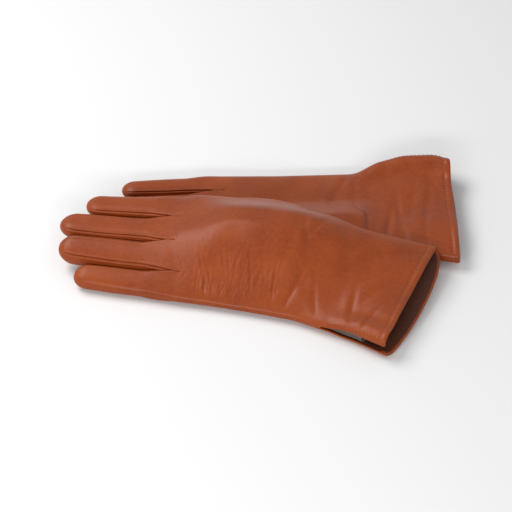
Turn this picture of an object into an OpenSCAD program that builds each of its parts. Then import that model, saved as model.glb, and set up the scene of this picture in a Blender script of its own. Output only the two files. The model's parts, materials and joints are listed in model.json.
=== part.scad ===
/* [Hand] */
// Width of the hand across the knuckles
hand_w = 85; // [76:1:96]
// How far the index side bulges at the root of the thumb
thumb_bulge = 3; // [0:0.5:6]
// Width at the wrist
wrist_w = 75; // [68:1:84]
// Width of the cuff at its open edge
cuff_w = 96; // [88:1:110]
// Length from the knuckles to the wrist, where the vent starts
palm_len = 116; // [100:1:135]
// Length of the vented cuff beyond the wrist
cuff_len = 48; // [38:1:70]
// Thickness of the empty hand
hand_t = 10; // [9:0.5:13]
// Thickness of the cuff where it gapes
cuff_t = 15; // [12:0.5:20]

/* [Fingers] */
// Length of the index finger from the fork
index_len = 68; // [58:1:78]
// Length of the middle finger from the fork
middle_len = 81; // [70:1:92]
// Length of the ring finger from the fork
ring_len = 79; // [68:1:90]
// Length of the little finger from its lower fork
pinky_len = 66; // [56:1:76]
// Width of the little finger as a share of the hand, the others share the rest
pinky_share = 0.206; // [0.18:0.002:0.23]
// Thickness of an empty finger
finger_t = 11; // [10:0.5:13]
// How much further back the fork beside the little finger lies
pinky_drop = 6; // [3:0.5:9]
// Gap between neighbouring fingers at the fork
finger_gap = 1; // [0.8:0.1:2]

/* [Thumb] */
// Length of the thumb from its hole, folded flat under the palm
thumb_len = 54; // [46:1:58]
// Width of the thumb
thumb_w = 23; // [20:0.5:26]
// Thickness of the folded thumb
thumb_t = 8.5; // [8:0.25:10]
// Length of the thumb hole along the palm
thumb_hole = 26; // [22:1:30]

/* [Layers] */
// Thickness of the leather
leather_t = 0.8; // [0.6:0.05:1]
// Thickness of the knitted lining
lining_t = 0.7; // [0.5:0.05:0.9]
// Air between one layer and the next
layer_gap = 0.15; // [0.1:0.05:0.3]
// Thickness of a conductive touch pad
pad_t = 0.5; // [0.3:0.1:0.8]
// Depth of the leather facing inside the cuff
facing_len = 22; // [16:1:26]
// Distance of the topstitching from the cuff's edge
stitch_in = 3; // [2:0.5:5]
// Thickness of the topstitching thread
thread_t = 0.4; // [0.3:0.1:0.6]
// Gap of the vent between the back and the palm
vent_gap = 2.4; // [1.5:0.1:4]
// Free play between a finger and the hand at its bend
bend_play = 0.6; // [0.4:0.1:1]

/* [Laying out] */
// How far the left glove's fingers turn from the length of the pair
left_turn = 7.5; // [0:0.5:12]
// How far the right glove's fingers turn from the length of the pair
right_turn = -1.5; // [-3:0.5:3]
// How strongly the left glove curves towards its cuff, per millimetre
left_curve = 0.0014; // [0:0.0001:0.002]
// How far the right glove lies behind the left one along its length
right_back = 26.5; // [10:0.5:40]
// How far the right glove lies beside the left one
right_aside = 34.6; // [30:0.1:50]

/* [Hidden] */
SIDES = ["left", "right"];
FINGERS = ["index", "middle", "ring", "pinky"];
HAND_PIECES = ["back_panel", "palm_panel", "hand_lining", "cuff_facing", "cuff_stitching",
    "thumb_stall", "thumb_lining", "thumb_touch_pad"];
FINGER_PIECES = ["back", "palm", "fourchettes", "lining"];

leather = [0.56, 0.29, 0.18];
knit = [0.45, 0.38, 0.33];
dark_leather = [0.36, 0.18, 0.11];
thread = [0.62, 0.35, 0.22];
conductive = [0.25, 0.25, 0.27];

// Depths under the leather's outer face
lining_in = leather_t + layer_gap;
pad_in = lining_in + lining_t + layer_gap;

// Roundness of the sections, from 2 for an ellipse upwards
finger_power = 2.8;
hand_power = 3.6;
thumb_power = 3;

finger_cols = 16;
hand_cols = 28;
hand_rows = 11;
pinky_w = hand_w * pinky_share;
inner_w = (hand_w - pinky_w) / 3;
glove_len = palm_len + cuff_len;

// How far each finger leans towards the middle one, in degrees
FINGER_LEAN = [3, 1, -1.5, -2.5];
FINGER_LEN = [index_len, middle_len, ring_len, pinky_len];
FINGER_W = [inner_w, inner_w + 1, inner_w - 1, pinky_w];
FINGER_ROWS = [0, 0.2, 0.45, 0.68, 0.82, 0.9, 0.95, 0.985, 1];

function clamp01(v) = min(1, max(0, v));
function soft(v) = let (c = clamp01(v)) (c + c * c * (3 - 2 * c)) / 2;
function sum_to(list, n) = n < 0 ? 0 : list[n] + sum_to(list, n - 1);

// Across the hand, +Y is the index side and the little finger's side is -Y.
function index_edge(x) = hand_w / 2 + lookup(x, [
    [0, 0], [0.3 * palm_len, thumb_bulge], [0.55 * palm_len, thumb_bulge],
    [0.8 * palm_len, -0.5 * (hand_w - wrist_w)], [palm_len, wrist_w - hand_w],
    [glove_len, wrist_w - hand_w + 0.36 * (cuff_w - wrist_w)]]);
function pinky_edge(x) = -hand_w / 2 - lookup(x, [
    [0, 0], [palm_len, 0], [palm_len + 0.4 * cuff_len, 0.12 * (cuff_w - wrist_w)],
    [glove_len, 0.64 * (cuff_w - wrist_w)]]);
function thick(x) = lookup(x, [
    [0, finger_t], [0.35 * palm_len, hand_t], [palm_len, hand_t + 1], [glove_len, cuff_t]]);

// Height of a glove's underside over the surface that the pair lies on. The left glove climbs
// from its outer edge on to the right one, and each palm is raised by the thumb under it.
stack_fingers = finger_t + 0.8;
thumb_seat = 0.7;
thumb_rise = thumb_t + thumb_seat + 0.15;
left_thumb_floor = thumb_rise + hand_t + 1.6;
thumb_droop = 0.3;
function left_rise(x) = lookup(x, [
    [0, stack_fingers], [0.16 * palm_len, stack_fingers + thumb_rise + 1.5],
    [0.36 * palm_len, left_thumb_floor + thumb_rise], [0.75 * palm_len, left_thumb_floor + thumb_rise],
    [palm_len, stack_fingers + 4], [glove_len, 6]]);
function left_crest(x) = lookup(x, [
    [0, -0.03 * hand_w], [0.3 * palm_len, 0.1 * hand_w], [0.75 * palm_len, 0.1 * hand_w],
    [palm_len, 0.2 * hand_w], [glove_len, 0.45 * hand_w]]);
function left_lift(x, y) = lookup(x, [[palm_len, 0], [glove_len, 0.8]])
    + left_rise(x) * soft((y - pinky_edge(x)) / (left_crest(x) - pinky_edge(x)));
function right_lift(x, y) = lookup(x, [[palm_len, 0], [glove_len, 0.8]])
    + lookup(x, [[0, 0], [0.16 * palm_len, thumb_rise], [0.8 * palm_len, thumb_rise], [palm_len, 0]])
        * soft((y + 0.15 * hand_w) / (0.27 * hand_w));
function lift(side, x, y) = side == "left" ? left_lift(x, y) : right_lift(x, y);

// One point of a rounded section: along the width from -1 to 1, then along the thickness
function section(j, cols, power) = let (a = 360 * j / cols, u = cos(a))
    [u, (sin(a) < 0 ? -1 : 1) * pow(max(0, 1 - pow(abs(u), power)), 1 / power)];

// The left glove's length follows a parabola from its knuckles to its cuff.
function curved(side, p) = let (c = side == "left" ? left_curve : 0, x = max(0, p.x), a = atan(c * x))
    [p.x - p.y * sin(-a), -c * x * x / 2 + p.y * cos(a), p.z];

// A point of the hand's section, depth mm under the leather's outer face
function hand_point(side, x, j, depth) = let (
    q = section(j, hand_cols, hand_power),
    half = (index_edge(x) - pinky_edge(x)) / 2,
    y = (index_edge(x) + pinky_edge(x)) / 2 + (half - depth) * q.x,
    open = q.x < -0.6 ? clamp01((x - palm_len) / cuff_len * 3) * vent_gap / 2 * (-0.6 - q.x) / 0.4 : 0,
    up = j % hand_cols < hand_cols / 2 ? 1 : -1,
    fork = pinky_drop * clamp01((-hand_w / 2 + pinky_w - y) / 3 + 1) * (1 - x / glove_len),
    slant = 0.066 * y * x / glove_len)
    curved(side, [x + fork + slant, y,
        lift(side, x, y) + thick(x) / 2 + (thick(x) / 2 - depth) * q.y + up * open]);
function hand_grid(side, xs, js, depth) = [for (x = xs) [for (j = js) hand_point(side, x, j, depth)]];

// A point of a finger that runs from its bend at the origin towards -X. A blunter tip ends sooner.
tip_blunt = 0.04;
function cap(left, reach) = left >= reach ? 1 : sqrt(max(0, 1 - pow(1 - left / reach, 2)));
function finger_point(size, k, j, depth, blunt = tip_blunt) = let (
    run = size[0] - depth - 6 * (blunt - tip_blunt),
    x = run * FINGER_ROWS[k],
    q = section(j, finger_cols, finger_power),
    half_w = (size[1] / 2 * (1 - 0.15 * FINGER_ROWS[k]) - depth) * max(0.3, cap(run - x, 0.5 * size[1])),
    half_t = (size[2] / 2 - depth) * max(blunt, cap(run - x, 0.8 * size[2])))
    [-x, half_w * q.x, half_t * q.y];
function finger_grid(size, ks, js, depth, blunt = tip_blunt) =
    [for (k = ks) [for (j = js) finger_point(size, k, j, depth, blunt)]];

// A point of the folded thumb. It leaves a hole in the palm over it and bends round flat. Past its
// knuckle the left thumb droops off the right glove, by $droop for each millimetre.
THUMB_TURN = [90, 62, 32, 0, 0, 0, 0, 0, 0, 0, 0];
THUMB_RUN = [0, 1.5, 3.5, 6, 0.3 * thumb_len, 0.55 * thumb_len, 0.76 * thumb_len, 0.87 * thumb_len,
    0.94 * thumb_len, 0.985 * thumb_len, thumb_len];
function thumb_point(k, j, depth) = let (
    far = thumb_len - depth,
    run = min(THUMB_RUN[k], far * THUMB_RUN[k] / thumb_len),
    deep = min(thumb_hole, thumb_t / max(0.01, cos(THUMB_TURN[k]))),
    q = section(j, finger_cols, thumb_power),
    round_w = max(0.3, cap(far - run, 0.5 * thumb_w)),
    round_t = max(0.25, cap(far - run, 0.7 * thumb_t)),
    reach = deep / 2 - (deep / 2 - depth) * round_t * q.y)
    [-run + reach * sin(THUMB_TURN[k]),
        (thumb_w / 2 * (1 - 0.12 * run / far) - depth) * round_w * q.x,
        -reach * cos(THUMB_TURN[k]) - $droop * max(0, run - 0.68 * thumb_len)];
function thumb_grid(ks, js, depth) = [for (k = ks) [for (j = js) thumb_point(k, j, depth)]];

function quad(a, b, c, d) = [[a, b, c], [a, c, d]];

// A sheet of leather or knit between two grids of points, with an optional window [row, row, col, col]
module sheet(outer, inner, window = [0, 0, 0, 0]) {
    rows = len(outer);
    cols = len(outer[0]);
    size = rows * cols;
    function at(i, j) = i * cols + j;
    function wall(a, b) = quad(a, b, b + size, a + size);
    function inside(i, j) = i >= window[0] && i < window[1] && j >= window[2] && j < window[3];
    polyhedron(
        points = concat([for (row = outer) each row], [for (row = inner) each row]),
        faces = concat(
            [for (i = [0 : rows - 2], j = [0 : cols - 2]) if (!inside(i, j))
                each quad(at(i, j), at(i + 1, j), at(i + 1, j + 1), at(i, j + 1))],
            [for (i = [0 : rows - 2], j = [0 : cols - 2]) if (!inside(i, j))
                each quad(at(i, j) + size, at(i, j + 1) + size, at(i + 1, j + 1) + size, at(i + 1, j) + size)],
            [for (j = [0 : cols - 2]) each wall(at(0, j), at(0, j + 1))],
            [for (j = [0 : cols - 2]) each wall(at(rows - 1, j + 1), at(rows - 1, j))],
            [for (i = [0 : rows - 2]) each wall(at(i + 1, 0), at(i, 0))],
            [for (i = [0 : rows - 2]) each wall(at(i, cols - 1), at(i + 1, cols - 1))],
            [for (j = [window[2] : 1 : window[3] - 1])
                each wall(at(window[0], j + 1), at(window[0], j))],
            [for (j = [window[2] : 1 : window[3] - 1])
                each wall(at(window[1], j), at(window[1], j + 1))],
            [for (i = [window[0] : 1 : window[1] - 1])
                each wall(at(i, window[2]), at(i + 1, window[2]))],
            [for (i = [window[0] : 1 : window[1] - 1])
                each wall(at(i + 1, window[3]), at(i, window[3]))]),
        convexity = 6);
}

// A sleeve between two stacks of rings, open at its first ring and open or closed at its last
module sleeve(outer, inner, closed = true, window = [0, 0, 0, 0]) {
    rows = len(outer);
    cols = len(outer[0]);
    size = rows * cols;
    last = rows - 1;
    function at(i, j) = i * cols + j % cols;
    function wall(a, b) = quad(a, b, b + size, a + size);
    function inside(i, j) = i >= window[0] && i < window[1] && j >= window[2] && j < window[3];
    function middle(ring) = [for (k = [0 : 2]) sum_to([for (p = ring) p[k]], cols - 1) / cols];
    polyhedron(
        points = concat([for (row = outer) each row], [for (row = inner) each row],
            [middle(outer[last]), middle(inner[last])]),
        faces = concat(
            [for (i = [0 : rows - 2], j = [0 : cols - 1]) if (!inside(i, j))
                each quad(at(i, j), at(i + 1, j), at(i + 1, j + 1), at(i, j + 1))],
            [for (i = [0 : rows - 2], j = [0 : cols - 1]) if (!inside(i, j))
                each quad(at(i, j) + size, at(i, j + 1) + size, at(i + 1, j + 1) + size, at(i + 1, j) + size)],
            [for (j = [0 : cols - 1]) each wall(at(0, j), at(0, j + 1))],
            closed ? [for (j = [0 : cols - 1]) [at(last, j), 2 * size, at(last, j + 1)]]
                : [for (j = [0 : cols - 1]) each wall(at(last, j + 1), at(last, j))],
            closed ? [for (j = [0 : cols - 1]) [at(last, j) + size, at(last, j + 1) + size, 2 * size + 1]] : [],
            [for (j = [window[2] : 1 : window[3] - 1])
                each wall(at(window[0], j + 1), at(window[0], j))],
            [for (j = [window[2] : 1 : window[3] - 1])
                each wall(at(window[1], j), at(window[1], j + 1))],
            [for (i = [window[0] : 1 : window[1] - 1])
                each wall(at(i, window[2]), at(i + 1, window[2]))],
            [for (i = [window[0] : 1 : window[1] - 1])
                each wall(at(i + 1, window[3]), at(i, window[3]))]),
        convexity = 6);
}

// Rows of the hand, from the knuckles to where the lining ends and on to the cuff
lining_end = glove_len - facing_len;
HAND_ROWS = [for (i = [0 : hand_rows]) i < hand_rows - 1 ? lining_end * i / (hand_rows - 2)
    : glove_len - facing_len * (hand_rows - i) / 2];
LINING_ROWS = [for (i = [0 : hand_rows - 2]) i == 0 ? bend_play : HAND_ROWS[i]];
FACING_ROWS = [lining_end + layer_gap, glove_len - facing_len / 2, glove_len];
back_cols = [for (j = [0 : hand_cols / 2]) j];
palm_cols = [for (j = [hand_cols / 2 : hand_cols]) j];
all_cols = [for (j = [0 : hand_cols - 1]) j];
around_cols = [for (j = [hand_cols / 2 + 1 : hand_cols * 3 / 2 - 1]) j];
stitch_x = glove_len - stitch_in;

// The thumb hole is a window in the rows and columns under the index side.
HOLE_ROWS = [5, 7];
hole_first = 2;
hole_last = 6;
hole_x = HAND_ROWS[HOLE_ROWS[0]] + 1.5;
hole_u = (cos(360 * hole_first / hand_cols) + cos(360 * hole_last / hand_cols)) / 2;
hole_mid = hole_x + thumb_hole / 2;
hole_y = (index_edge(hole_mid) * (1 + hole_u) + pinky_edge(hole_mid) * (1 - hole_u)) / 2;

module back_panel(side) {
    color(leather)
        sheet(hand_grid(side, HAND_ROWS, back_cols, 0), hand_grid(side, HAND_ROWS, back_cols, leather_t));
}

module palm_panel(side) {
    color(leather)
        sheet(hand_grid(side, HAND_ROWS, palm_cols, 0), hand_grid(side, HAND_ROWS, palm_cols, leather_t),
            window = [HOLE_ROWS[0], HOLE_ROWS[1], 14 - hole_last, 14 - hole_first]);
}

module hand_lining(side) {
    color(knit)
        sleeve(hand_grid(side, LINING_ROWS, all_cols, lining_in),
            hand_grid(side, LINING_ROWS, all_cols, lining_in + lining_t), closed = false,
            window = [HOLE_ROWS[0], HOLE_ROWS[1], 28 - hole_last, 28 - hole_first]);
}

module cuff_facing(side) {
    color(dark_leather)
        sheet(hand_grid(side, FACING_ROWS, around_cols, lining_in),
            hand_grid(side, FACING_ROWS, around_cols, lining_in + leather_t));
}

module cuff_stitching(side) {
    rows = [stitch_x - thread_t / 2, stitch_x + thread_t / 2];
    color(thread)
        sheet(hand_grid(side, rows, around_cols, -layer_gap - thread_t),
            hand_grid(side, rows, around_cols, -layer_gap));
}

// Places the thumb under its hole in the palm.
module at_thumb(side) {
    root = curved(side, [hole_x, hole_y, lift(side, hole_x, hole_y) - thumb_seat]);
    $droop = side == "left" ? thumb_droop : 0;
    translate(root) rotate([0, 0, side == "left" ? -atan(left_curve * hole_x) : 0]) children();
}

thumb_rows = [for (k = [0 : len(THUMB_TURN) - 1]) k];
finger_all = [for (j = [0 : finger_cols - 1]) j];

module thumb_stall(side) {
    at_thumb(side)
        color(leather)
            sleeve(thumb_grid(thumb_rows, finger_all, 0), thumb_grid(thumb_rows, finger_all, leather_t));
}

module thumb_lining(side) {
    at_thumb(side)
        color(knit)
            sleeve(thumb_grid(thumb_rows, finger_all, lining_in),
                thumb_grid(thumb_rows, finger_all, lining_in + lining_t));
}

module thumb_touch_pad(side) {
    at_thumb(side)
        color(conductive)
            sheet(thumb_grid([5, 6, 7], [10, 11, 12, 13, 14], pad_in),
                thumb_grid([5, 6, 7], [10, 11, 12, 13, 14], pad_in + pad_t));
}

// Size of a finger: its length, its width and its thickness
function finger_size(n) = [FINGER_LEN[n] - bend_play, FINGER_W[n] - finger_gap, finger_t];
// Middle of a finger across the hand, counted from the index side
function finger_y(n) = hand_w / 2 - sum_to(FINGER_W, n) + FINGER_W[n] / 2;

// Places a finger at its bend, leaning as the glove's underside does there.
module at_finger(side, n) {
    y = finger_y(n);
    drop = n == 3 ? pinky_drop : 0;
    half = 0.4 * FINGER_W[n];
    rise = (lift(side, 0, y + half) - lift(side, 0, y - half)) / (2 * half);
    back = bend_play + FINGER_W[n] / 2 * sin(abs(FINGER_LEAN[n]));
    translate([drop - back, y, lift(side, 0, y) + finger_t / 2])
        rotate([atan(rise), 0, FINGER_LEAN[n]])
            children();
}

rows_all = [for (k = [0 : len(FINGER_ROWS) - 1]) k];
rows_side = [for (k = [0 : len(FINGER_ROWS) - 2]) k];

module finger_sheet(n, ks, js) {
    size = finger_size(n);
    color(leather)
        sheet(finger_grid(size, ks, js, 0), finger_grid(size, ks, js, leather_t));
}

// The outer fingers have no fourchette on their outer side, so their strips meet there.
module finger_back(side, n) {
    first = n == 0 ? 0 : 1;
    last = n == 3 ? 8 : 7;
    at_finger(side, n) finger_sheet(n, rows_all, [for (j = [first : last]) j]);
}

module finger_palm(side, n) {
    first = n == 3 ? 8 : 9;
    last = n == 0 ? 16 : 15;
    at_finger(side, n) finger_sheet(n, rows_all, [for (j = [first : last]) j]);
}

module finger_fourchettes(side, n) {
    at_finger(side, n) {
        if (n > 0) finger_sheet(n, rows_side, [15, 16, 17]);
        if (n < 3) finger_sheet(n, rows_side, [7, 8, 9]);
    }
}

module finger_lining(side, n) {
    size = finger_size(n);
    at_finger(side, n)
        color(knit)
            sleeve(finger_grid(size, rows_all, finger_all, lining_in, 0.3),
                finger_grid(size, rows_all, finger_all, lining_in + lining_t, 0.3));
}

module index_touch_pad(side) {
    size = finger_size(0);
    at_finger(side, 0)
        color(conductive)
            sheet(finger_grid(size, [3, 4, 5], [10, 11, 12, 13, 14], pad_in, 0.3),
                finger_grid(size, [3, 4, 5], [10, 11, 12, 13, 14], pad_in + pad_t, 0.3));
}

// The left glove lies on the right one. Both have their backs up and their fingers towards -X.
// The shift puts the middle of the pair's box over the origin.
pair_shift = [-56.8, -1.7];
module lay(side) {
    if (side == "left")
        translate([pair_shift.x, pair_shift.y, 0]) rotate([0, 0, -left_turn]) children();
    else
        translate([pair_shift.x + right_back, pair_shift.y + right_aside, 0])
            rotate([0, 0, -right_turn]) mirror([0, 1, 0]) children();
}

module hand_piece(side, piece) {
    lay(side) {
        if (piece == "back_panel") back_panel(side);
        if (piece == "palm_panel") palm_panel(side);
        if (piece == "hand_lining") hand_lining(side);
        if (piece == "cuff_facing") cuff_facing(side);
        if (piece == "cuff_stitching") cuff_stitching(side);
        if (piece == "thumb_stall") thumb_stall(side);
        if (piece == "thumb_lining") thumb_lining(side);
        if (piece == "thumb_touch_pad") thumb_touch_pad(side);
    }
}

module finger_piece(side, n, piece) {
    lay(side) {
        if (piece == "back") finger_back(side, n);
        if (piece == "palm") finger_palm(side, n);
        if (piece == "fourchettes") finger_fourchettes(side, n);
        if (piece == "lining") finger_lining(side, n);
    }
}

for (side = SIDES, piece = HAND_PIECES)
    hand_piece(side, piece);
for (side = SIDES, n = [0 : 3], piece = FINGER_PIECES)
    finger_piece(side, n, piece);
for (side = SIDES)
    lay(side) index_touch_pad(side);
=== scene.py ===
import json
import math
import bpy
import numpy as np
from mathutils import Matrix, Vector


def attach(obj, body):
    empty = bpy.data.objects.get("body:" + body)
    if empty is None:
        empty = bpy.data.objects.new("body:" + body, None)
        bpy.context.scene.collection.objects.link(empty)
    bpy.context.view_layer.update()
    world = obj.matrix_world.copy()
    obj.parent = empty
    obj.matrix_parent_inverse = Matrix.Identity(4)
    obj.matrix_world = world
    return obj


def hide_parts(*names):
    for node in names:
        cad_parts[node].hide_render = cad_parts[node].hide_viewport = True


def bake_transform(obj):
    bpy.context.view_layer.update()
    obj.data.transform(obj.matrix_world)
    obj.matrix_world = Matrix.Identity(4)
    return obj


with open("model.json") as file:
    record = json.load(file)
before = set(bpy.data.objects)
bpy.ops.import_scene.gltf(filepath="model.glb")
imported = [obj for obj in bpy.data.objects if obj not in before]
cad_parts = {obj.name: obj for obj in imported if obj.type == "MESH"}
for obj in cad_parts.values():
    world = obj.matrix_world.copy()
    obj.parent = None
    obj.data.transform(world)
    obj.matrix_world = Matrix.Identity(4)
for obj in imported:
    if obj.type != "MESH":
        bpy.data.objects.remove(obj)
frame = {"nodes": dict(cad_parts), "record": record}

print("frame loaded:", len(frame["nodes"]), "nodes")
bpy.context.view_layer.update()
record = frame["record"]
joints = {joint["name"]: joint for joint in record["behaviour"]["joints"]}

# sizes of the glove's pattern in millimetres; several pieces share them, so they stand together
hand = {
    "width": 85.0, "wristWidth": 75.0, "cuffWidth": 96.0,
    "palmLength": 116.0, "cuffLength": 48.0, "bulge": 3.0,
    "thickness": 10.0, "cuffThickness": 15.0,
    "rows": 230, "backCols": 150, "palmCols": 100,
    "roundness": 3.4, "wrapAngle": 28.0, "ventGap": 4.6,
}
fingers = {
    "names": ["index", "middle", "ring", "pinky"],
    "lengths": [68.0, 82.5, 80.0, 66.5],
    "leans": [3.0, 1.0, -1.5, -2.5],
    "pinkyShare": 0.206, "thickness": 11.0, "roundness": 2.6,
    "rows": 90, "backCols": 40, "sideCols": 18, "taper": 0.2,
    "seamAngle": 42.0, "ridge": 0.85, "blendLength": 24.0,
}
thumb = {"length": 54.0, "width": 23.0, "thickness": 7.4, "hole": 26.0, "seat": 0.7, "droop": 0.2,
         "x": 80.4, "y": 23.3, "rows": 70, "cols": 64}
layers = {"leather": 0.8, "lining": 1.1, "facing": 2.2, "hemRadius": 1.1, "facingDepth": 22.0,
          "knit": 0.7, "facingSkin": 0.5, "fingerSkin": 0.7, "fingerKnit": 0.6, "pad": 0.3, "padDepth": 1.85,
          "stitchInset": 3.2, "stitchPitch": 2.9, "stitchLength": 2.1, "stitchRadius": 0.24}
laying = {"leftTurn": 7.5, "rightTurn": -1.5, "leftCurve": 0.0014, "sink": 9.5,
          "overThumb": 0.15, "betweenFingers": 0.8, "betweenHands": 1.6}
# each open cuff: its flare on the index side, how far the lower layer hangs out, its flap and its slant
openCuffs = {
    "left": {"indexFlare": 0.36, "hang": 8.5, "flapRise": 1.5, "slant": 0.066},
    "right": {"indexFlare": 0.72, "hang": 2.5, "flapRise": 5.5, "slant": 0.0},
}
gloveLength = hand["palmLength"] + hand["cuffLength"]
pinkyWidth = hand["width"] * fingers["pinkyShare"]
innerWidth = (hand["width"] - pinkyWidth) / 3
fingers["widths"] = [innerWidth, innerWidth + 1, innerWidth - 1, pinkyWidth]


def clamp01(value):
    return np.clip(value, 0.0, 1.0)


def smoothStep(value):
    # three t squared minus two t cubed, between 0 and 1
    held = clamp01(value)
    return held * held * (3 - 2 * held)


def softRamp(value):
    # halfway between a straight ramp and a smooth step
    return (clamp01(value) + smoothStep(value)) / 2


def alongKeys(x, keys, blur=7.0):
    # straight lines between the keys, averaged over a short run so that the corners round off
    at = [key[0] for key in keys]
    level = [key[1] for key in keys]
    steps = np.linspace(-blur, blur, 11)
    return sum(np.interp(x + step, at, level) for step in steps) / len(steps)


def indexEdge(side, x):
    # the palm bulges, the wrist draws in, and the cuff flares again
    palm = hand["palmLength"]
    flare = hand["cuffWidth"] - hand["wristWidth"]
    narrowing = hand["wristWidth"] - hand["width"]
    return hand["width"] / 2 + alongKeys(x, [
        [0, 0], [0.3 * palm, hand["bulge"]], [0.55 * palm, hand["bulge"]], [0.8 * palm, -5.0],
        [palm, narrowing], [gloveLength, narrowing + openCuffs[side]["indexFlare"] * flare]])


def pinkyEdge(side, x):
    # bowed outwards past the wrist, where the vent lets the cuff spread
    palm = hand["palmLength"]
    flare = hand["cuffWidth"] - hand["wristWidth"]
    keys = [[0, 0], [0.8 * palm, 1.5], [palm, 5.0], [palm + 0.4 * hand["cuffLength"], 7.0],
            [gloveLength, 0.66 * flare]]
    if side == "right":
        keys = [[0, 0], [0.84 * palm, 0], [palm, 6.5], [palm + 0.35 * hand["cuffLength"], 8.5],
                [gloveLength - 8, 7.0], [gloveLength, 1.5]]
    return -hand["width"] / 2 - alongKeys(x, keys, 5.0)


def thickAt(x):
    palm = hand["palmLength"]
    return alongKeys(x, [[0, fingers["thickness"]], [0.35 * palm, hand["thickness"]],
                         [palm, hand["thickness"] + 1], [gloveLength, hand["cuffThickness"]]])


# how high the stacked gloves ride: each palm lies over its folded thumb, the left glove over the right
thumbRise = thumb["thickness"] + thumb["seat"] + laying["overThumb"]
stackFingers = fingers["thickness"] + laying["betweenFingers"]
leftThumbFloor = thumbRise + hand["thickness"] + laying["betweenHands"]


def liftAt(side, x, y):
    palm = hand["palmLength"]
    width = hand["width"]
    cuffLift = alongKeys(x, [[palm, 0], [gloveLength, 0.8]])
    if side == "left":
        rise = alongKeys(x, [
            [0, stackFingers], [0.16 * palm, stackFingers + thumbRise + 1.5],
            [0.36 * palm, leftThumbFloor + thumbRise], [0.75 * palm, leftThumbFloor + thumbRise],
            [palm, stackFingers + 6], [gloveLength, 6]], 16.0)
        crest = alongKeys(x, [[0, -0.03 * width], [0.3 * palm, 0.1 * width], [0.75 * palm, 0.1 * width],
                              [palm, 0.2 * width], [gloveLength, 0.45 * width]])
        edge = pinkyEdge(side, x)
        # past the thumb the index side sinks again towards the glove below
        sink = laying["sink"] * smoothStep((y - 20) / 26) * smoothStep((x - 2) / 34)
        sink = sink * (1 - smoothStep((x - 78) / 45))
        return cuffLift + rise * softRamp((y - edge) / (crest - edge)) - sink
    rise = alongKeys(x, [[0, 0], [0.16 * palm, thumbRise], [0.8 * palm, thumbRise], [palm, 0]], 12.0)
    return cuffLift + rise * softRamp((y + 0.15 * width) / (0.27 * width))


def turned(x, y, degrees):
    angle = math.radians(degrees)
    return x * math.cos(angle) - y * math.sin(angle), x * math.sin(angle) + y * math.cos(angle)


def curved(side, x, y):
    # the left glove's middle line is a parabola from the knuckles to the cuff
    curve = laying["leftCurve"] if side == "left" else 0.0
    along = np.maximum(0, x)
    angle = np.arctan(curve * along)
    return x + y * np.sin(angle), -curve * along * along / 2 + y * np.cos(angle)


def laidDown(side, x, y):
    if side == "left":
        return turned(x, y, -laying["leftTurn"])
    return turned(x, -y, -laying["rightTurn"])


def fingerMiddle(index):
    return hand["width"] / 2 - sum(fingers["widths"][:index]) - fingers["widths"][index] / 2


def findOffset(side):
    # the pattern's middle finger bend is laid on the joint that the frame gives for it
    lean = math.radians(fingers["leans"][1])
    bendX = -0.6 - fingers["widths"][1] / 2 * math.sin(lean)
    atX, atY = laidDown(side, bendX, fingerMiddle(1))
    joint = joints[side + "_middle_bend"]["pos_m"]
    return joint[0] * 1000 - atX, joint[1] * 1000 - atY


offsets = {side: findOffset(side) for side in ("left", "right")}


def toWorld(side, x, y, z):
    # pattern millimetres to metres in the frame: curve, turn, then shift to the joint
    bentX, bentY = curved(side, x, y)
    laidX, laidY = laidDown(side, bentX, bentY)
    return np.stack([(laidX + offsets[side][0]) / 1000, (laidY + offsets[side][1]) / 1000, z / 1000], axis=-1)


# creases as short soft valleys: middle x, middle y, direction, half length, half width, depth
def scatterCreases(seed, count, spanX, spanY, angles, lengths, widths, depths):
    dice = np.random.default_rng(seed)
    return np.stack([
        dice.uniform(*spanX, count), dice.uniform(*spanY, count), np.radians(dice.uniform(*angles, count)),
        dice.uniform(*lengths, count), dice.uniform(*widths, count), dice.uniform(*depths, count)], axis=-1)


creases = {
    "left": np.concatenate([
        scatterCreases(4, 46, (8, 78), (-40, -17), (62, 112), (4, 10), (0.5, 1.0), (0.16, 0.42)),
        scatterCreases(9, 18, (2, 26), (-30, 2), (40, 130), (2, 6), (0.4, 0.8), (0.08, 0.2)),
        scatterCreases(12, 14, (70, 150), (-40, 20), (30, 150), (8, 22), (2.0, 4.0), (0.25, 0.6)),
        np.array([[132, -34, 1.75, 13, 2.2, 0.9], [146, -42, 1.35, 9, 1.8, 0.8], [104, -30, 1.9, 12, 1.8, 0.6],
                  [88, -28, 1.3, 12, 1.5, 0.7], [120, 12, 1.1, 16, 3.0, 0.6]])]),
    "right": np.concatenate([
        scatterCreases(21, 16, (5, 70), (18, 40), (60, 120), (4, 10), (0.8, 1.4), (0.12, 0.3)),
        scatterCreases(25, 12, (70, 155), (-40, 36), (50, 130), (8, 20), (2.0, 3.6), (0.25, 0.6)),
        np.array([[104, 20, 1.6, 17, 2.0, 1.1], [118, 17, 1.75, 20, 2.2, 1.3], [127, 8, 1.5, 20, 2.4, 1.1],
                  [146, 2, 1.7, 22, 2.6, 1.0], [97, -20, 1.6, 14, 2.4, 0.6]])]),
}


def creaseDepth(side, x, y):
    # each valley falls off as a bell across its width and along its length, with a low lip beside it
    depth = np.zeros_like(x)
    for middleX, middleY, angle, halfLength, halfWidth, deep in creases[side]:
        along = (x - middleX) * math.cos(angle) + (y - middleY) * math.sin(angle)
        across = -(x - middleX) * math.sin(angle) + (y - middleY) * math.cos(angle)
        across = across + 0.03 * along * along / halfLength
        fall = np.exp(-(along / halfLength) ** 2)
        valley = np.exp(-(across / halfWidth) ** 2)
        lip = 0.45 * np.exp(-((across - 2.1 * halfWidth) / (1.5 * halfWidth)) ** 2)
        depth += deep * fall * (valley - lip)
    return depth


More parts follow.
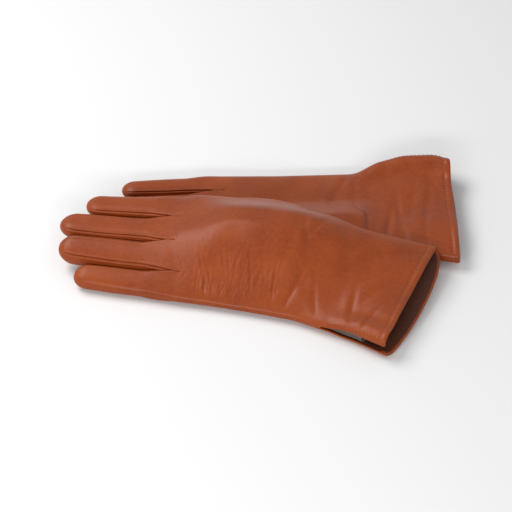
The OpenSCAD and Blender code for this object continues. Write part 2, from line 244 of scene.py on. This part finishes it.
def wavesAt(side, x, y):
    # a few long crossed sine waves: the limp leather never lies quite flat
    turn = 0.0 if side == "left" else 1.7
    wave = 0.35 * np.sin(x / 17 + 0.9 * np.sin(y / 21 + turn) + turn)
    wave += 0.28 * np.sin(y / 11 + 0.8 * np.sin(x / 19 + turn))
    wave += 0.16 * np.sin((x + 1.3 * y) / 8.3 + turn) + 0.1 * np.sin((x - 0.7 * y) / 4.9 + 2.0)
    cuffWave = 0.9 * np.sin(y / 12.5 + 1.1 + turn + x / 60) + 0.4 * np.sin(y / 7.0 + x / 30)
    return wave + 0.8 * (smoothStep((x - 95) / 40) * cuffWave)


def backRelief(side, x, y):
    return wavesAt(side, x, y) - creaseDepth(side, x, y)


def forkLine(y):
    # how far back the forks lie, across the hand
    return np.interp(y, [-43, -25.0, -14, -3.5, 19.5, 43], [7.5, 6.0, 1.5, -1.0, 0.5, 1.5])


def makeMesh(name, points, faces, material, uv=None):
    mesh = bpy.data.meshes.new(name)
    flat = points.reshape(-1, 3)
    mesh.vertices.add(len(flat))
    mesh.vertices.foreach_set("co", flat.astype(np.float32).ravel())
    mesh.loops.add(faces.size)
    mesh.loops.foreach_set("vertex_index", faces.astype(np.int32).ravel())
    mesh.polygons.add(len(faces))
    mesh.polygons.foreach_set("loop_start", np.arange(0, faces.size, faces.shape[1], dtype=np.int32))
    mesh.polygons.foreach_set("loop_total", np.full(len(faces), faces.shape[1], dtype=np.int32))
    mesh.polygons.foreach_set("use_smooth", np.ones(len(faces), dtype=bool))
    mesh.update(calc_edges=True)
    mesh.validate()
    if uv is not None:
        layer = mesh.uv_layers.new(name="pattern")
        layer.data.foreach_set("uv", uv.reshape(-1, 2)[faces.ravel()].astype(np.float32).ravel())
    # open edges stay sharp, so that a cut edge doesn't shade the sheet beside it
    sides = np.zeros(len(mesh.loops), dtype=np.int32)
    mesh.loops.foreach_get("edge_index", sides)
    sharp = mesh.attributes.new("sharp_edge", "BOOLEAN", "EDGE")
    sharp.data.foreach_set("value", np.bincount(sides, minlength=len(mesh.edges)) == 1)
    mesh.materials.append(material)
    piece = bpy.data.objects.new(name, mesh)
    bpy.context.scene.collection.objects.link(piece)
    return piece


def gridFaces(rows, cols, flip=False, closed=False):
    i, j = np.meshgrid(np.arange(rows - 1), np.arange(cols if closed else cols - 1), indexing="ij")
    i, j = i.ravel(), j.ravel()
    nextCol = (j + 1) % cols
    quads = np.stack([i * cols + j, i * cols + nextCol, (i + 1) * cols + nextCol, (i + 1) * cols + j], axis=-1)
    return quads[:, ::-1] if flip else quads


def makeSheet(name, side, points, material, uv, thickness):
    # rows run along the glove and columns round it, so the mirrored glove is wound the other way
    faces = gridFaces(points.shape[0], points.shape[1], flip=side == "right")
    piece = makeMesh(name, points, faces, material, uv)
    wall = piece.modifiers.new("wall", "SOLIDIFY")
    wall.thickness = thickness / 1000
    wall.offset = -1
    wall.use_even_offset = False
    return piece


def addNode(tree, kind, settings=None, links=None):
    # adds one node, sets its properties and sockets, and links its inputs
    node = tree.nodes.new(kind)
    for key, value in (settings or {}).items():
        if isinstance(key, str) and hasattr(node, key) and key not in node.inputs:
            setattr(node, key, value)
        else:
            node.inputs[key].default_value = value
    for key, source in (links or {}).items():
        tree.links.new(source, node.inputs[key])
    return node


def toLinear(hexColour):
    values = [int(hexColour[k:k + 2], 16) / 255 for k in (1, 3, 5)]
    return [v / 12.92 if v <= 0.04045 else ((v + 0.055) / 1.055) ** 2.4 for v in values] + [1.0]


def startMaterial(name):
    material = bpy.data.materials.new(name)
    material.use_nodes = True
    tree = material.node_tree
    return material, tree, tree.nodes["Principled BSDF"]


# Lambskin, drum dyed and glazed: fine pores under a soft waxy gloss, paler where it is stretched.
lambskin = {
    "colour": "#964214", "dark": "#823410", "worn": "#a34f20", "rough": 0.33, "poreSize": 0.55,
    "poreDepth": 0.05, "wrinkleSize": 2.6, "wrinkleDepth": 0.16, "specular": 0.2, "coat": 0.06,
}
# the turned-in facing is the same lambskin with darker colours, as painted shade for the inside of the cuff,
# and a more matt finish
shadedFacingSkin = {**lambskin, "colour": "#512a19", "dark": "#3d1d10", "worn": "#63392a", "rough": 0.55}


def makeLambskin(name, skin):
    material, tree, shader = startMaterial(name)
    place = addNode(tree, "ShaderNodeTexCoord").outputs["Object"]
    broad = addNode(tree, "ShaderNodeTexNoise", {"Scale": 38.0, "Detail": 4.0, "Roughness": 0.6},
                    {"Vector": place})
    fine = addNode(tree, "ShaderNodeTexNoise", {"Scale": 420.0, "Detail": 5.0, "Roughness": 0.65},
                   {"Vector": place})
    tone = addNode(tree, "ShaderNodeValToRGB", None, {"Fac": broad.outputs["Fac"]})
    tone.color_ramp.elements[0].position = 0.3
    tone.color_ramp.elements[0].color = toLinear(skin["dark"])
    tone.color_ramp.elements[1].position = 0.72
    tone.color_ramp.elements[1].color = toLinear(skin["colour"])
    speck = addNode(tree, "ShaderNodeMapRange",
                    {"From Min": 0.35, "From Max": 0.75, "To Min": 0.0, "To Max": 0.45},
                    {"Value": fine.outputs["Fac"]})
    mixed = addNode(tree, "ShaderNodeMix", {"data_type": "RGBA"})
    tree.links.new(speck.outputs["Result"], mixed.inputs[0])
    tree.links.new(tone.outputs["Color"], mixed.inputs[6])
    mixed.inputs[7].default_value = toLinear(skin["worn"])
    tree.links.new(mixed.outputs[2], shader.inputs["Base Color"])
    gloss = addNode(tree, "ShaderNodeMapRange",
                    {"From Min": 0.3, "From Max": 0.7,
                     "To Min": skin["rough"] - 0.05, "To Max": skin["rough"] + 0.09},
                    {"Value": broad.outputs["Fac"]})
    tree.links.new(gloss.outputs["Result"], shader.inputs["Roughness"])
    pores = addNode(tree, "ShaderNodeTexVoronoi", {"Scale": 1000 / skin["poreSize"] / 1.6}, {"Vector": place})
    folds = addNode(tree, "ShaderNodeTexNoise",
                    {"Scale": 1000 / skin["wrinkleSize"], "Detail": 6.0, "Roughness": 0.55, "Distortion": 0.6},
                    {"Vector": place})
    coarse = addNode(tree, "ShaderNodeBump", {"Strength": 0.5, "Distance": skin["wrinkleDepth"] / 1000},
                     {"Height": folds.outputs["Fac"]})
    grain = addNode(tree, "ShaderNodeBump", {"Strength": 0.55, "Distance": skin["poreDepth"] / 1000},
                    {"Height": pores.outputs["Distance"], "Normal": coarse.outputs["Normal"]})
    tree.links.new(grain.outputs["Normal"], shader.inputs["Normal"])
    shader.inputs["IOR"].default_value = 1.5
    shader.inputs["Specular IOR Level"].default_value = skin["specular"]
    shader.inputs["Coat Weight"].default_value = skin["coat"]
    shader.inputs["Coat Roughness"].default_value = 0.3
    return material


# Brushed wool knit: rows of small loops, matt and a little hairy.
knitCloth = {"colour": "#75655a", "dark": "#4c3f37", "loop": 1.3}


def makeKnit():
    material, tree, shader = startMaterial("brushed wool knit")
    uv = addNode(tree, "ShaderNodeUVMap", {"uv_map": "pattern"}).outputs["UV"]
    perLoop = 1 / knitCloth["loop"]
    scaled = addNode(tree, "ShaderNodeMapping", {"Scale": (perLoop, perLoop, 1.0)}, {"Vector": uv})
    loops = addNode(tree, "ShaderNodeTexWave",
                    {"wave_type": "BANDS", "bands_direction": "X", "Scale": 0.32, "Distortion": 2.2,
                     "Detail": 2.0, "Detail Scale": 2.5}, {"Vector": scaled.outputs["Vector"]})
    hairs = addNode(tree, "ShaderNodeTexNoise", {"Scale": 1.6, "Detail": 5.0},
                    {"Vector": scaled.outputs["Vector"]})
    both = addNode(tree, "ShaderNodeMath", {"operation": "MULTIPLY"})
    tree.links.new(loops.outputs["Fac"], both.inputs[0])
    tree.links.new(hairs.outputs["Fac"], both.inputs[1])
    tone = addNode(tree, "ShaderNodeValToRGB", None, {"Fac": both.outputs[0]})
    tone.color_ramp.elements[0].color = toLinear(knitCloth["dark"])
    tone.color_ramp.elements[1].position = 0.6
    tone.color_ramp.elements[1].color = toLinear(knitCloth["colour"])
    tree.links.new(tone.outputs["Color"], shader.inputs["Base Color"])
    bump = addNode(tree, "ShaderNodeBump", {"Strength": 0.8, "Distance": 0.0005}, {"Height": both.outputs[0]})
    tree.links.new(bump.outputs["Normal"], shader.inputs["Normal"])
    shader.inputs["Roughness"].default_value = 0.95
    shader.inputs["Sheen Weight"].default_value = 0.3
    return material


# Bonded polyester sewing thread: twisted, slightly waxy.
def makeThread():
    material, tree, shader = startMaterial("polyester sewing thread")
    place = addNode(tree, "ShaderNodeTexCoord").outputs["Object"]
    twist = addNode(tree, "ShaderNodeTexNoise", {"Scale": 2200.0, "Detail": 2.0}, {"Vector": place})
    tone = addNode(tree, "ShaderNodeValToRGB", None, {"Fac": twist.outputs["Fac"]})
    tone.color_ramp.elements[0].color = toLinear("#7a3b20")
    tone.color_ramp.elements[1].color = toLinear("#b87a52")
    tree.links.new(tone.outputs["Color"], shader.inputs["Base Color"])
    shader.inputs["Roughness"].default_value = 0.5
    return material


# Silver-coated conductive jersey of the touch pads: grey, fine and faintly metallic.
def makeConductive():
    material, tree, shader = startMaterial("conductive silver jersey")
    place = addNode(tree, "ShaderNodeTexCoord").outputs["Object"]
    weave = addNode(tree, "ShaderNodeTexNoise", {"Scale": 1500.0, "Detail": 2.0}, {"Vector": place})
    tone = addNode(tree, "ShaderNodeValToRGB", None, {"Fac": weave.outputs["Fac"]})
    tone.color_ramp.elements[0].color = toLinear("#55565a")
    tone.color_ramp.elements[1].color = toLinear("#8b8d92")
    tree.links.new(tone.outputs["Color"], shader.inputs["Base Color"])
    shader.inputs["Roughness"].default_value = 0.6
    shader.inputs["Metallic"].default_value = 0.4
    return material


leatherFinish = makeLambskin("glazed lambskin leather", lambskin)
# the facing's darker copy of the lambskin is painted shade
shadedFacingFinish = makeLambskin("turned-in lambskin facing in painted shade", shadedFacingSkin)
knitFinish = makeKnit()
threadFinish = makeThread()
conductiveFinish = makeConductive()
print("materials made")


def handSection(side, x, angle, depth):
    # a point of the hand's skin: |u|^n + |v|^n = 1 in the section, with n the roundness, raised by the
    # lift, with the relief on its upper half
    palm = hand["palmLength"]
    cuff = openCuffs[side]
    top, bottom = indexEdge(side, x), pinkyEdge(side, x)
    half = (top - bottom) / 2
    power = 2 / hand["roundness"]
    cosA, sinA = np.cos(angle), np.sin(angle)
    u = np.sign(cosA) * np.abs(cosA) ** power
    v = np.sign(sinA) * np.abs(sinA) ** power
    y = (top + bottom) / 2 + (half - depth) * u
    relieved = backRelief(side, x, y) * np.clip(v, 0, 1) * smoothStep((1.02 - np.abs(u)) / 0.2)
    # the vent parts the two layers, and the leather curls up beside it
    upper = np.where(sinA >= 0, 1.0, -1.0)
    vent = smoothStep((x - palm) / 18) * smoothStep((-u - 0.55) / 0.45) * hand["ventGap"] / 2
    curl = smoothStep((x - palm - 6) / 30) * np.exp(-((y - bottom - 7) / 4.5) ** 2) * np.clip(v, 0, 1)
    flap = smoothStep((-u - 0.6) / 0.35) * smoothStep((x - 96) / 22) * (sinA >= 0)
    # the hem has a dip under its stitches and a roll at its edge, on the outer side only
    hemDip = -0.4 * np.exp(-((x - gloveLength + layers["stitchInset"]) / 1.0) ** 2)
    hemRoll = 0.25 * np.exp(-((x - gloveLength + 1.2) / 1.1) ** 2)
    outside = (np.asarray(depth) < 0.6) * 1.0
    halfThick = thickAt(x) / 2
    z = liftAt(side, x, y) + halfThick + (halfThick - depth + (hemDip + hemRoll) * outside) * v
    z = z + relieved + 1.5 * curl + upper * vent
    z = z + flap * cuff["flapRise"]
    # the open cuff's edge runs aslant, and its lower layer hangs out beyond the upper one
    atCuff = smoothStep((x - 112) / 50)
    slant = cuff["slant"] * y * x / gloveLength
    slant = slant + cuff["hang"] * atCuff * np.sqrt(np.maximum(0, 1 - u * u)) * (sinA < 0)
    front = forkLine(y) * (1 - clamp01(x / 60))
    return x + slant + front, y, z


def hemFold(x, depthOut, depthIn):
    # past the cuff's edge the leather turns in along a half circle of the hem's radius
    radius = (depthIn - depthOut) / 2
    over = np.maximum(0, x - gloveLength)
    turn = np.clip(over / radius, 0, math.pi)
    inside = np.maximum(0, over - math.pi * radius)
    depth = depthOut + radius * (1 - np.cos(turn))
    return np.minimum(x, gloveLength) + radius * np.sin(turn) - inside, depth


def panelGrid(side, start, stop, rows, cols, startAngle, stopAngle, wrap=0.0, depth=0.0, fold=False):
    # on the little-finger side the back wraps under the hand by the wrap angle, as far as the vent,
    # and the palm starts where it stops
    xs = np.linspace(start, stop, rows)
    if fold:
        edge = np.linspace(0.12, math.pi * layers["hemRadius"] + 2.0, 14)
        xs = np.concatenate([xs, stop + edge])
    share = np.linspace(0, 1, cols)
    x = np.repeat(xs[:, None], cols, axis=1)
    extra = wrap * (1 - smoothStep((x - 92) / 22))
    angle = np.radians(startAngle + (stopAngle - startAngle) * share[None, :])
    wrapShare = share if startAngle < 90 else 1 - share
    angle = angle + np.radians(extra) * wrapShare[None, :]
    placeX, deep = hemFold(x, depth, depth + 2 * layers["hemRadius"]) if fold else (x, depth)
    px, py, pz = handSection(side, placeX, angle, deep)
    uv = np.stack([x, angle * 27], axis=-1)
    return toWorld(side, px, py, pz), uv


def makeHand(side):
    # back and palm turn in at the cuff, and the knit lines them as far as the leather facing, which is
    # coloured darker as painted shade inside the cuff
    facingStart = gloveLength - layers["facingDepth"]
    wrap = hand["wrapAngle"]
    back = panelGrid(side, 0, gloveLength, hand["rows"], hand["backCols"], 0, 180, wrap, fold=True)
    palm = panelGrid(side, 0, gloveLength, hand["rows"] // 2, hand["palmCols"], 180.4, 360, wrap, fold=True)
    knit = panelGrid(side, 1, facingStart + 3, 90, 120, 0, 360, depth=layers["lining"] + 1.35)
    face = panelGrid(side, facingStart, gloveLength - 0.4, 24, 120, -172, 172, depth=layers["facing"] + 0.05)
    for name, node, slot, grid, finish, wall in (
            ("BackPanel", "back_panel", "leather", back, leatherFinish, layers["leather"]),
            ("PalmPanel", "palm_panel", "leather", palm, leatherFinish, layers["leather"]),
            ("HandLining", "hand_lining", "lining", knit, knitFinish, layers["knit"]),
            ("CuffFacing", "cuff_facing", "facing", face, shadedFacingFinish, layers["facingSkin"])):
        points, uv = grid
        piece = makeSheet(side + name, side, points, finish, uv, wall)
        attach(piece, side + "_hand")
        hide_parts(side + "_" + node)


def makeStitches(side):
    # short capsules in a row: round the cuff, then up the back's edge of the vent
    runs = []
    angles = np.radians(np.linspace(-176, 176, 4000))
    runs.append((np.full_like(angles, gloveLength - layers["stitchInset"]), angles))
    ventX = np.linspace(hand["palmLength"] + 4, gloveLength - layers["stitchInset"], 1500)
    runs.append((ventX, np.full_like(ventX, math.radians(158))))
    spineSteps, ringSteps = 5, 6
    pointsAll, facesAll, base = [], [], 0
    for xs, angle in runs:
        path = toWorld(side, *handSection(side, xs, angle, 0.0)) * 1000
        below = toWorld(side, *handSection(side, xs, angle, 0.25)) * 1000
        out = path - below
        out /= np.linalg.norm(out, axis=1, keepdims=True) + 1e-9
        length = np.concatenate([[0], np.cumsum(np.linalg.norm(np.diff(path, axis=0), axis=1))])
        count = int(length[-1] / layers["stitchPitch"])
        mids = (np.arange(count) + 0.5) * layers["stitchPitch"]
        ends = mids[:, None] + np.linspace(-0.5, 0.5, spineSteps)[None, :] * layers["stitchLength"]
        spine = np.stack([np.interp(ends, length, path[:, k]) for k in range(3)], axis=-1)
        rise = np.stack([np.interp(ends, length, out[:, k]) for k in range(3)], axis=-1)
        tangent = np.gradient(spine, axis=1)
        tangent /= np.linalg.norm(tangent, axis=2, keepdims=True)
        aside = np.cross(tangent, rise)
        aside /= np.linalg.norm(aside, axis=2, keepdims=True)
        swell = np.array([0.35, 0.9, 1.0, 0.9, 0.35])[None, :, None, None] * layers["stitchRadius"]
        sink = np.array([-0.25, 0.02, 0.1, 0.02, -0.25])[None, :, None]
        turn = np.linspace(0, 2 * math.pi, ringSteps + 1)[:-1][None, None, :, None]
        ring = np.cos(turn) * aside[:, :, None, :] + np.sin(turn) * rise[:, :, None, :]
        points = ((spine + rise * sink)[:, :, None, :] + ring * swell).reshape(-1, 3)
        quads = gridFaces(spineSteps, ringSteps, closed=True)
        stepIndex = (np.arange(count) * spineSteps * ringSteps)[:, None, None]
        pointsAll.append(points / 1000)
        facesAll.append((quads[None] + stepIndex).reshape(-1, 4) + base)
        base += len(points)
    piece = makeMesh(side + "CuffStitching", np.concatenate(pointsAll), np.concatenate(facesAll), threadFinish)
    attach(piece, side + "_hand")
    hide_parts(side + "_cuff_stitching")


def capAt(left, reach):
    # a quarter circle: 0 at the tip, 1 once the reach is passed
    held = np.clip(left / reach, 0, 1)
    return np.sqrt(np.maximum(0, 1 - (1 - held) ** 2))


def fingerSection(side, index, run, angle, depth):
    # a point of a finger's skin: at the fork the section is a slice of the hand, and past it the corners
    # round off and the finger narrows; seams stand up as low ridges with a groove between
    length = fingers["lengths"][index] - depth
    width = fingers["widths"][index]
    left = length - run
    free = smoothStep(run / 22)
    squareCorners = 30
    power = squareCorners + (fingers["roundness"] - squareCorners) * smoothStep(run / 24) ** 0.3
    u, v = roundSection(angle, power)
    swell = 1 - 0.05 * free - (fingers["taper"] - 0.05) * (run / length)
    swell = swell + 0.02 * np.sin(run / 9 + index * 1.3) * free
    halfWidth = (width / 2 * swell - depth - 0.12) * np.maximum(0.02, capAt(left, 0.52 * width))
    y = fingerMiddle(index) + halfWidth * u
    handHalf = hand["width"] / 2
    across = np.clip(np.abs(y / (handHalf + 0.01)), 0, 1)
    handShare = (1 - across ** hand["roundness"]) ** (1 / hand["roundness"])
    share = handShare + (1 - handShare) * free
    puff = 1 + 0.06 * free * np.sin(run / 12 + index)
    slimmed = fingers["thickness"] / 2 * share * puff * (1 - 0.1 * run / length) - depth
    halfThick = slimmed * capAt(left, 0.85 * fingers["thickness"])
    ridge = seamRidge(index, run, angle) * smoothStep(left / 12) if depth < 0.5 else 0.0
    y = y + ridge * np.sign(u) * np.abs(u) ** 2
    relief = 0.5 * backRelief(side, -run, y) * np.clip(v, 0, 1) * capAt(left, 20) * (1 - 0.35 * free)
    fade = (1 - smoothStep(run / 9)) * 0.5
    relief = relief + fade * backRelief(side, -run, y) * np.clip(v, 0, 1)
    edgeFade = 1 - (1 - smoothStep((1.02 - np.abs(y) / handHalf) / 0.2)) * (1 - free)
    z = liftAt(side, -run, y) + fingers["thickness"] / 2 + halfThick * v
    z = z + ridge * 0.6 * np.sign(v) * np.abs(v) + relief * edgeFade
    # the first millimetre is tucked in under the hand's edge
    z = z - 0.07 * (1 - smoothStep((run + 1.2) / 2.4)) * np.sign(v)
    lean = math.radians(fingers["leans"][index])
    forward = forkLine(y) * (1 - smoothStep(run / 40))
    x = -run * math.cos(lean) + (y - fingerMiddle(index)) * math.sin(-lean) * free + forward
    return x, y - run * math.sin(lean), z


def roundSection(angle, power):
    # a superellipse by direction: |u|^power + |v|^power = 1, nearly a box where the power is high
    cosA, sinA = np.cos(angle), np.sin(angle)
    reach = (np.abs(cosA) ** power + np.abs(sinA) ** power) ** (-1 / power)
    return reach * cosA, reach * sinA


def seamAngles(run):
    # the fourchette is a long leaf: its two seams start together at the fork and part within 12 mm
    opening = smoothStep((run - 1.5) / 12)
    top = math.radians(fingers["seamAngle"]) * (0.35 + 0.65 * opening) + math.radians(24) * (1 - opening)
    low = -math.radians(fingers["seamAngle"]) * opening + math.radians(36) * (1 - opening)
    return top, low


def seamRidge(index, run, angle):
    # low bells on both sides of each seam and a groove along it, on the sides that face a finger
    total = np.zeros_like(angle + run)
    for side in ([1] if index == 3 else [-1] if index == 0 else [1, -1]):
        folded = angle if side == 1 else math.pi - angle
        folded = np.arctan2(np.sin(folded), np.cos(folded))
        for seam in seamAngles(run):
            away = folded - seam
            bell = np.exp(-((np.abs(away) - 0.11) / 0.075) ** 2) - 1.1 * np.exp(-(away / 0.045) ** 2)
            total = total + bell
    return fingers["ridge"] * total * smoothStep((run - 1) / 5)


def fingerGrid(side, index, cols, lowAngle, highAngle, depth=0.0):
    rows = fingers["rows"]
    length = fingers["lengths"][index] - depth
    share = np.linspace(0, 1, rows)
    tuck = 1.2 if depth < 0.5 else 0.0
    run = (length + tuck) * (0.55 * share + 0.45 * np.sin(share * math.pi / 2)) - tuck
    run = np.repeat(run[:, None], cols, axis=1)
    across = np.linspace(0, 1, cols)[None, :]
    low, high = lowAngle(run), highAngle(run)
    angle = low + (high - low) * across
    px, py, pz = fingerSection(side, index, run, angle, depth)
    # rows go towards the tip, so they are stored the other way round, to run from tip to hand
    return toWorld(side, px, py, pz)[::-1], np.stack([run, angle * 9], axis=-1)[::-1]


def seamTop(run):
    return seamAngles(run)[0]


def seamLow(run):
    return seamAngles(run)[1]


def steady(angle):
    # 0 is the side towards the index finger, and pi the side towards the little finger
    return lambda run: run * 0 + angle


def acrossFrom(seam):
    return lambda run: math.pi - seam(run)


def roundTo(seam):
    return lambda run: 2 * math.pi + seam(run)


def crestPoint(side, index, run):
    # the top of the finger at a distance from its fork
    return toWorld(side, *fingerSection(side, index, np.array([run]), np.array([math.pi / 2]), 0.0))[0]


def makeFinger(side, index):
    # back and palm reach from seam to seam, and a fourchette closes each side that faces a finger
    label = side + fingers["names"][index].capitalize()
    body = side + "_" + fingers["names"][index]
    facesIndex, facesLittle = index > 0, index < 3
    backFrom = seamTop if facesIndex else steady(0.0)
    backTo = acrossFrom(seamTop) if facesLittle else steady(math.pi)
    palmFrom = acrossFrom(seamLow) if facesLittle else steady(math.pi)
    palmTo = roundTo(seamLow) if facesIndex else steady(2 * math.pi)
    skins = [("Back", "back", fingers["backCols"], backFrom, backTo),
             ("Palm", "palm", fingers["backCols"], palmFrom, palmTo)]
    if facesIndex:
        skins.append(("IndexSideFourchette", "fourchettes", fingers["sideCols"], seamLow, seamTop))
    if facesLittle:
        skins.append(("LittleSideFourchette", "fourchettes", fingers["sideCols"],
                      acrossFrom(seamTop), acrossFrom(seamLow)))
    pieces = []
    for name, node, cols, low, high in skins:
        grid, uv = fingerGrid(side, index, cols, low, high)
        piece = makeSheet(label + name, side, grid, leatherFinish, uv, layers["fingerSkin"])
        pieces.append((piece, node, "leather"))
    grid, uv = fingerGrid(side, index, 48, steady(0.0), steady(2 * math.pi), layers["lining"])
    lining = makeSheet(label + "Lining", side, grid, knitFinish, uv, layers["fingerKnit"])
    pieces.append((lining, "lining", "lining"))
    if index == 0:
        pad, uv = fingerGrid(side, index, 16, steady(1.2 * math.pi), steady(1.8 * math.pi), layers["padDepth"])
        keep = slice(8, 30)
        touchPad = makeSheet(label + "TouchPad", side, pad[keep], conductiveFinish, uv[keep], layers["pad"])
        pieces.append((touchPad, "touch_pad", "touch_pad"))
    start, end = crestPoint(side, index, 1.0), crestPoint(side, index, fingers["blendLength"])
    end[2] = start[2]
    for piece, node, slot in pieces:
        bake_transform(piece)
        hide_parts(body + "_" + node)


def thumbGrid(side, cols, lowAngle, highAngle, depth=0.0, fromShare=0.0, toShare=1.0):
    # the tube leaves its hole in the palm, turns flat within a few millimetres and runs to its tip
    share = np.linspace(fromShare, toShare, thumb["rows"])
    far = thumb["length"] - depth
    run = far * (0.6 * share + 0.4 * np.sin(share * math.pi / 2))
    run = np.repeat(run[:, None], cols, axis=1)
    angle = np.radians(lowAngle + (highAngle - lowAngle) * np.linspace(0, 1, cols))[None, :] + run * 0
    turn = math.pi / 2 * (1 - smoothStep(run / 7))
    deep = np.minimum(thumb["hole"], thumb["thickness"] / np.maximum(0.01, np.cos(turn)))
    power = 2 / 2.8
    cosA, sinA = np.cos(angle), np.sin(angle)
    u = np.sign(cosA) * np.abs(cosA) ** power
    v = np.sign(sinA) * np.abs(sinA) ** power
    left = far - run
    slimmed = thumb["width"] / 2 * (1 - 0.12 * run / far) - depth
    halfWidth = slimmed * np.maximum(0.02, capAt(left, 0.5 * thumb["width"]))
    halfDeep = (deep / 2 - depth) * np.maximum(0.02, capAt(left, 0.8 * thumb["thickness"]))
    reach = deep / 2 - halfDeep * v
    droop = thumb["droop"] * np.maximum(0, run - 0.68 * thumb["length"]) if side == "left" else 0.0
    rootX, rootY = curved(side, np.array(thumb["x"]), np.array(thumb["y"]))
    rootZ = liftAt(side, thumb["x"], thumb["y"]) - thumb["seat"]
    yaw = -math.degrees(math.atan(laying["leftCurve"] * thumb["x"])) if side == "left" else 0.0
    x, y = turned(-run + reach * np.sin(turn), halfWidth * u, yaw)
    z = rootZ - reach * np.cos(turn) - droop
    laidX, laidY = laidDown(side, x + rootX, y + rootY)
    points = np.stack([laidX + offsets[side][0], laidY + offsets[side][1], z], axis=-1) / 1000
    # rows are stored from tip to root, as on the fingers
    return points[::-1], np.stack([run, angle * 9], axis=-1)[::-1]


def makeThumb(side):
    skin = thumbGrid(side, thumb["cols"], 0, 360)
    knit = thumbGrid(side, thumb["cols"], 0, 360, layers["lining"])
    pad = thumbGrid(side, 16, 215, 325, layers["padDepth"], 0.72, 0.9)
    for name, node, slot, grid, finish, wall in (
            ("ThumbStall", "thumb_stall", "leather", skin, leatherFinish, layers["fingerSkin"]),
            ("ThumbLining", "thumb_lining", "lining", knit, knitFinish, layers["fingerKnit"]),
            ("ThumbTouchPad", "thumb_touch_pad", "touch_pad", pad, conductiveFinish, layers["pad"])):
        points, uv = grid
        piece = makeSheet(side + name, side, points, finish, uv, wall)
        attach(piece, side + "_hand")
        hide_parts(side + "_" + node)


for glove in ("right", "left"):
    makeHand(glove)
    makeStitches(glove)
    makeThumb(glove)
    for number in range(4):
        makeFinger(glove, number)
    print(glove, "glove made")


studio = {"floorColour": "#f4f4f4", "floorSize": 1.6, "floorDrop": 0.0004,
          "elevation": 45.0, "distance": 1.6, "lens": 165.0,
          "aim": (-0.003, -0.008, 0.011),
          "keyPower": 6.4, "fillPower": 0.6, "stripPower": 4.6, "worldLevel": 0.4}


def makeFloor():
    half, drop = studio["floorSize"], -studio["floorDrop"]
    corners = np.array([[-half, -half, drop], [half, -half, drop], [half, half, drop], [-half, half, drop]])
    material, tree, shader = startMaterial("matt paper floor")
    shader.inputs["Base Color"].default_value = toLinear(studio["floorColour"])
    shader.inputs["Roughness"].default_value = 0.9
    floor = makeMesh("paperFloor", corners, np.array([[0, 1, 2, 3]]), material)


def makeWorld():
    # white where it is seen, mirrored or seen through, and a plainer level as the light
    world = bpy.data.worlds.new("soft studio")
    bpy.context.scene.world = world
    world.use_nodes = True
    tree = world.node_tree
    tree.nodes.clear()
    rays = addNode(tree, "ShaderNodeLightPath")
    plain = addNode(tree, "ShaderNodeBackground", {"Color": (1, 1, 1, 1), "Strength": studio["worldLevel"]})
    white = addNode(tree, "ShaderNodeBackground", {"Color": (1, 1, 1, 1), "Strength": 1.0})
    mirrored = addNode(tree, "ShaderNodeMath", {"operation": "MAXIMUM"},
                       {0: rays.outputs["Is Camera Ray"], 1: rays.outputs["Is Glossy Ray"]})
    shown = addNode(tree, "ShaderNodeMath", {"operation": "MAXIMUM"},
                    {0: mirrored.outputs[0], 1: rays.outputs["Is Transmission Ray"]})
    mix = addNode(tree, "ShaderNodeMixShader")
    tree.links.new(shown.outputs[0], mix.inputs[0])
    tree.links.new(plain.outputs[0], mix.inputs[1])
    tree.links.new(white.outputs[0], mix.inputs[2])
    output = addNode(tree, "ShaderNodeOutputWorld")
    tree.links.new(mix.outputs[0], output.inputs[0])


def addSoftbox(name, place, aim, width, height, power):
    data = bpy.data.lights.new(name, "AREA")
    data.shape = "RECTANGLE"
    data.size = width
    data.size_y = height
    data.energy = power
    lamp = bpy.data.objects.new(name, data)
    lamp.visible_camera = False
    lamp.location = place
    lamp.rotation_euler = (Vector(aim) - Vector(place)).to_track_quat("-Z", "Y").to_euler()
    bpy.context.scene.collection.objects.link(lamp)


def makeCamera():
    data = bpy.data.cameras.new("studioCamera")
    data.lens = studio["lens"]
    data.sensor_width = 36
    camera = bpy.data.objects.new("studioCamera", data)
    angle = math.radians(studio["elevation"])
    aim = Vector(studio["aim"])
    camera.location = aim + Vector((0, -math.cos(angle), math.sin(angle))) * studio["distance"]
    camera.rotation_euler = (aim - camera.location).to_track_quat("-Z", "Y").to_euler()
    bpy.context.scene.collection.objects.link(camera)
    bpy.context.scene.camera = camera


makeFloor()
makeWorld()
addSoftbox("keySoftbox", (-0.55, 0.25, 0.85), (0, 0, 0), 0.7, 0.5, studio["keyPower"])
addSoftbox("fillSoftbox", (-0.5, -0.7, 0.6), (0, 0, 0), 0.5, 0.5, studio["fillPower"])
addSoftbox("stripSoftbox", (-0.15, -0.95, 0.5), (-0.03, -0.03, 0.02), 0.9, 0.12, studio["stripPower"])
makeCamera()
bpy.context.scene.view_settings.view_transform = "Standard"
print("studio made")
